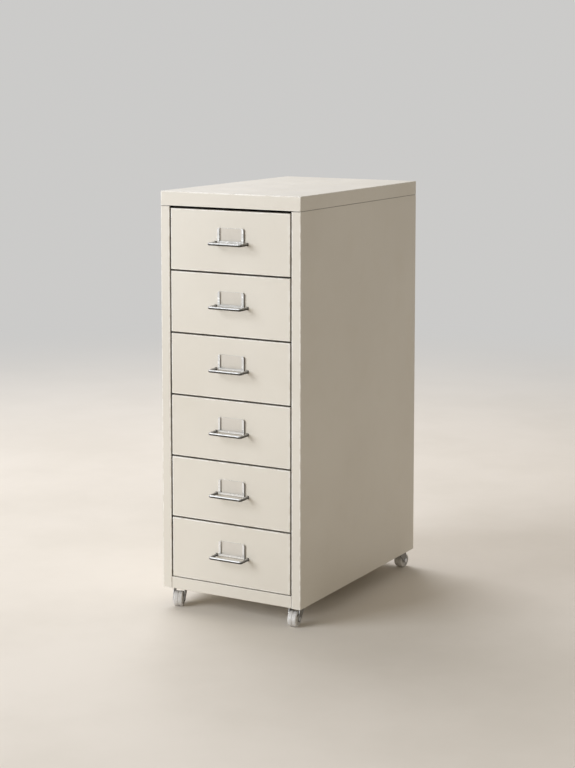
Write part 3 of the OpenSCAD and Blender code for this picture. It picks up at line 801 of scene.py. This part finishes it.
def casterWheel():
    half, radius, bore = wheel["width"] / 2, wheel["radius"], wheel["bore"]
    inner = radius - wheel["rim"]
    piece = addCylinder("wheelMaster", axleAt, radius, 2 * half, sideways)
    with editing(piece):
        for side in (-1, 1):
            pickFacing(piece, y=side)
            bpy.ops.mesh.inset(thickness=wheel["rim"])
            extrude(y=-side * wheel["dish"])
            scaleFromAxle(1 - wheel["dishSlope"] / inner)
            bpy.ops.mesh.inset(thickness=inner - wheel["dishSlope"] - wheel["hubRadius"])
            extrude(y=side * (wheel["hubHalf"] - half + wheel["dish"]))
            scaleFromAxle(wheel["hubTaper"])
            bpy.ops.mesh.inset(thickness=wheel["hubTaper"] * wheel["hubRadius"] - bore)
            bpy.ops.mesh.delete(type="FACE")
        pickEdges(piece, lambda a, b: near(a.y, b.y) and near(reachFromAxle(a), bore, loose)
                  and near(reachFromAxle(b), bore, loose))
        bpy.ops.mesh.bridge_edge_loops()
        for share in (-1, -wheel["grooveFloor"], wheel["grooveFloor"], 1):
            pickFaces(piece, lambda middle, normal: reachFromAxle(middle) > radius - mm
                      and not near(abs(middle.y), half))
            splitAt((0, share * wheel["groove"] / 2, 0), (0, 1, 0))
        floorEnd = wheel["groove"] * (1 + wheel["grooveFloor"]) / 4  # amid the groove's slope
        pickPoints(piece, lambda p: abs(p.y) < floorEnd and reachFromAxle(p) > radius - mm)
        scaleFromAxle(1 - wheel["grooveDeep"] / radius)
        pickEdges(piece, lambda a, b: near(abs(a.y), half) and near(a.y, b.y)
                  and min(reachFromAxle(a), reachFromAxle(b)) > radius - loose)
        roundOver(wheel["shoulder"], segments=5)
        pickEdges(piece, lambda a, b: near(a.y, b.y) and abs(a.y) > half - loose
                  and reachFromAxle(a) < inner + loose)
        roundOver(wheel["rimRound"], segments=2)
        weld()
    smooth(piece, angle=45)
    return piece


fork = {"crownHalf": 11 * mm, "shoulderDrop": 2.8 * mm, "legEnd": 4.9 * mm, "endSteps": 6,
        "sheet": 1.4 * mm, "fold": 2.3 * mm, "rim": 0.2 * mm}


def legRows():  # the x and z of both ends of each row, from the leg's shoulder down round its end
    half, end, steps = fork["crownHalf"], fork["legEnd"], fork["endSteps"]
    shoulderZ = caster["crownTop"] - fork["shoulderDrop"]
    rows = [((-half, shoulderZ), (half, shoulderZ))]
    touch = []  # where the leg's straight edges meet its round end
    for x, way in ((-half, 1), (half, -1)):
        away = Vector((x - axleAt.x, shoulderZ - axleAt.z))
        touch.append(math.atan2(away.y, away.x) + way * math.acos(end / away.length))
    if touch[0] > 0:
        touch[0] -= 2 * math.pi
    for i in range(steps):
        angles = [start + (-quarterTurn - start) * i / steps for start in touch]
        rows.append([(axleAt.x + end * math.cos(a), axleAt.z + end * math.sin(a))
                     for a in angles])
    return rows


def casterFork():
    top, half = caster["crownTop"], fork["crownHalf"]
    drop = 2 * top  # takes a new row clear of the rest, so that its ends are easy to pick
    piece = addPlane("forkMaster", (0, 0, top), (2 * half, 2 * caster["legOut"]))
    with editing(piece):
        for side in (-1, 1):
            y = side * caster["legOut"]
            before = ((-half, top), (half, top))
            pickEdges(piece, lambda a, b: edgeAt(a, b, y=y) and near(a.z, b.z))
            for row in legRows():
                extrude(z=-drop)
                for (oldX, oldZ), (x, z) in zip(before, row):
                    pickPoints(piece, lambda p: isAt(p, (oldX, y, oldZ - drop)))
                    bpy.ops.transform.translate(value=(x - oldX, 0, z - oldZ + drop))
                ends = [(x, y, z) for x, z in row]
                pickEdges(piece, lambda a, b: any(isAt(a, p) and isAt(b, q)
                                                  for p, q in (ends, ends[::-1])))
                before = row
            pickEdges(piece, lambda a, b: edgeAt(a, b, y=y, z=top))
            roundOver(fork["fold"], segments=4)
    thicken(piece, fork["sheet"], fork["rim"])
    smooth(piece)
    return piece


axle = {"radius": 2.5 * mm, "headRadius": 3.6 * mm, "headRise": 0.35 * mm,
        "domeSteps": ((0.35 * mm, 0.86), (0.2 * mm, 0.6)),  # rise, and what is left of the width
        "dimpleInset": 0.7 * mm, "dimpleDepth": 0.25 * mm}


def casterAxle():
    piece = addCylinder("axleMaster", axleAt, axle["radius"], 2 * caster["legOut"], sideways,
                        sides=32)
    with editing(piece):
        for side in (-1, 1):
            pickFacing(piece, y=side)
            extrude()
            scaleFromAxle(axle["headRadius"] / axle["radius"])
            extrude(y=side * axle["headRise"])
            for rise, left in axle["domeSteps"]:
                extrude(y=side * rise)
                scaleFromAxle(left)
            # dimple left by the riveting tool
            bpy.ops.mesh.inset(thickness=axle["dimpleInset"], depth=-axle["dimpleDepth"])
        weld()
    smooth(piece, angle=40)
    return piece


stem = {"radius": 4 * mm, "rivet": 5.6 * mm, "rivetHigh": 1.4 * mm, "rivetRound": 0.5 * mm,
        "collar": 7.2 * mm, "collarHigh": 1.6 * mm, "collarRound": 0.3 * mm, "length": 17.8 * mm}


def swivelStem():
    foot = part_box("caster_stems")[0][2]
    middle = (0, 0, foot + stem["rivetHigh"] / 2)
    piece = addCylinder("stemMaster", middle, stem["rivet"], stem["rivetHigh"], sides=48)
    grow = stem["collar"] / stem["radius"]
    with editing(piece):
        pickEdges(piece, lambda a, b: edgeAt(a, b, z=foot))
        roundOver(stem["rivetRound"])
        pickFacing(piece, z=1)
        bpy.ops.mesh.inset(thickness=stem["rivet"] - stem["radius"])
        extrude(z=caster["crownTop"] - foot - stem["rivetHigh"])
        extrude()
        resize(grow, grow, 1, (0, 0, 0))
        extrude(z=stem["collarHigh"])
        bpy.ops.mesh.inset(thickness=stem["collar"] - stem["radius"])
        extrude(z=stem["length"])
        pickEdges(piece, lambda a, b: near(a.z, b.z)
                  and math.hypot(a.x, a.y) > stem["collar"] - loose)
        roundOver(stem["collarRound"], segments=2)
        weld()
    smooth(piece, angle=40)
    return piece


wheelMaster, forkMaster = casterWheel(), casterFork()
axleMaster, stemMaster = casterAxle(), swivelStem()
joints = {joint["name"]: joint for joint in frame["joints"]}
stems = []
for corner in ("front_left", "front_right", "back_left", "back_right"):
    body = f"caster_{corner}"
    title = "caster" + corner.title().replace("_", "")
    swivel = Vector(joints[f"{body}_swivel"]["pos_m"])
    roll = Vector(joints[f"{body}_roll"]["pos_m"])
    spot = Matrix.Translation((swivel.x, swivel.y, 0))
    turned = spot @ Matrix.Rotation(math.atan2(roll.y - swivel.y, roll.x - swivel.x), 4, "Z")
    settle(copied(wheelMaster, title + "Wheel", turned),
           body + "_wheel", body + "_roller", plasticFinish)
    settle(copied(forkMaster, title + "Fork", turned), body + "_fork", body, forkChrome)
    settle(copied(axleMaster, title + "Axle", turned), body + "_axle", body, zincFinish)
    stems.append(copied(stemMaster, "stem", spot))
discard(wheelMaster, forkMaster, axleMaster, stemMaster)
settle(joined("casterStemSet", stems), "caster_stems", "cabinet", zincFinish)
print("stage: casters ready")

# Floor, light and camera
stage = {
    "floorRadius": 6.0, "floor": (0.77, 0.718, 0.645, 1), "floorShade": (0.72, 0.67, 0.595, 1),
    "floorRoughness": 0.75, "floorShine": 0.2, "toneRange": (0.35, 0.7),
    "tone": {"scale": 2.2, "detail": 6.0, "roughness": 0.6},
    "pores": {"scale": 160.0, "detail": 4.0}, "poreDepth": 0.05 * mm, "poreStrength": 0.3,
    "backdrop": (0.60, 0.595, 0.585, 1), "fadeStart": 0.9, "fadeEnd": 3.2,
    "ambient": (0.378, 0.349, 0.307, 1), "lampAim": (0, 0, 0.38),
    "key": {"at": (-2.9, -4.0, 2.1), "size": 3.0, "power": 205.0, "colour": (0.88, 0.925, 1.0)},
    "window": {"at": (-1.8, 1.3, 3.2), "size": 2.4, "power": 88.0, "colour": (0.94, 0.95, 1.0)},
}
camera = {"at": (1.5249, -2.6962, 0.935), "pitch": 6.0, "azimuth": 29.570, "focal": 1781.4,
          "frame": (575, 768), "middle": 246.89, "sensor": 36.0, "clip": (0.05, 60.0)}


def seenDirectly(tree):
    path = addNode(tree, "ShaderNodeLightPath").outputs
    seen = calc(tree, "MAXIMUM", path["Is Camera Ray"], path["Is Glossy Ray"])
    return calc(tree, "MAXIMUM", seen, path["Is Transmission Ray"])


def mixShaders(tree, mask, first, second, output):
    mix = addNode(tree, "ShaderNodeMixShader", {0: mask, 1: first, 2: second})
    tree.links.new(mix.outputs[0], output)


def layFloor():
    pickNothing()
    bpy.ops.mesh.primitive_circle_add(vertices=96, radius=stage["floorRadius"], fill_type="NGON")
    floor = bpy.context.active_object
    floor.name = "studioFloor"
    material, tree, shader = startMaterial("studioFloorPaint", Roughness=stage["floorRoughness"])
    shader.inputs["Specular IOR Level"].default_value = stage["floorShine"]
    place = objectPlace(tree)
    tone = ramped(tree, noise(tree, place, **stage["tone"]), *stage["toneRange"])
    colour = tinted(tree, tone, stage["floor"], stage["floorShade"])
    tree.links.new(colour, shader.inputs["Base Color"])
    pores = noise(tree, place, **stage["pores"])
    addBump(tree, shader, pores, stage["poreDepth"], stage["poreStrength"])
    # further out the floor fades into the backdrop
    reach = addNode(tree, "ShaderNodeVectorMath", {0: place}, operation="LENGTH").outputs["Value"]
    faded = ramped(tree, reach, stage["fadeStart"], stage["fadeEnd"])
    glow = addNode(tree, "ShaderNodeEmission", {"Color": stage["backdrop"], "Strength": 1.0})
    mask = calc(tree, "MULTIPLY", faded, seenDirectly(tree))
    surface = tree.nodes["Material Output"].inputs["Surface"]
    mixShaders(tree, mask, shader.outputs[0], glow.outputs[0], surface)
    floor.data.materials.append(material)


def setWorld():
    world = bpy.data.worlds.new("studioAir")
    bpy.context.scene.world = world
    world.use_nodes = True
    tree = world.node_tree
    air = tree.nodes["Background"]
    air.inputs["Color"].default_value = stage["ambient"]
    drop = addNode(tree, "ShaderNodeBackground", {"Color": stage["backdrop"], "Strength": 1.0})
    surface = tree.nodes["World Output"].inputs["Surface"]
    mixShaders(tree, seenDirectly(tree), air.outputs[0], drop.outputs[0], surface)


def addLamp(name, values):
    data = bpy.data.lights.new(name, "AREA")
    data.energy, data.size, data.color = values["power"], values["size"], values["colour"]
    lamp = bpy.data.objects.new(name, data)
    bpy.context.scene.collection.objects.link(lamp)
    lamp.location = values["at"]
    way = Vector(stage["lampAim"]) - Vector(values["at"])
    lamp.rotation_euler = way.to_track_quat("-Z", "Y").to_euler()


def setCamera():
    longSide = max(camera["frame"])
    data = bpy.data.cameras.new("photoCamera")
    data.sensor_fit, data.sensor_width = "AUTO", camera["sensor"]
    data.lens = camera["focal"] * data.sensor_width / longSide
    data.shift_y = (camera["middle"] - camera["frame"][1] / 2) / longSide
    data.clip_start, data.clip_end = camera["clip"]
    viewer = bpy.data.objects.new("photoCamera", data)
    bpy.context.scene.collection.objects.link(viewer)
    viewer.location = camera["at"]
    viewer.rotation_euler = (math.radians(90 - camera["pitch"]), 0,
                             math.radians(camera["azimuth"]))
    bpy.context.scene.camera = viewer


layFloor()
setWorld()
addLamp("keyLamp", stage["key"])
addLamp("windowLamp", stage["window"])
setCamera()
bpy.context.scene.view_settings.view_transform = "Standard"
print("stage: studio ready")
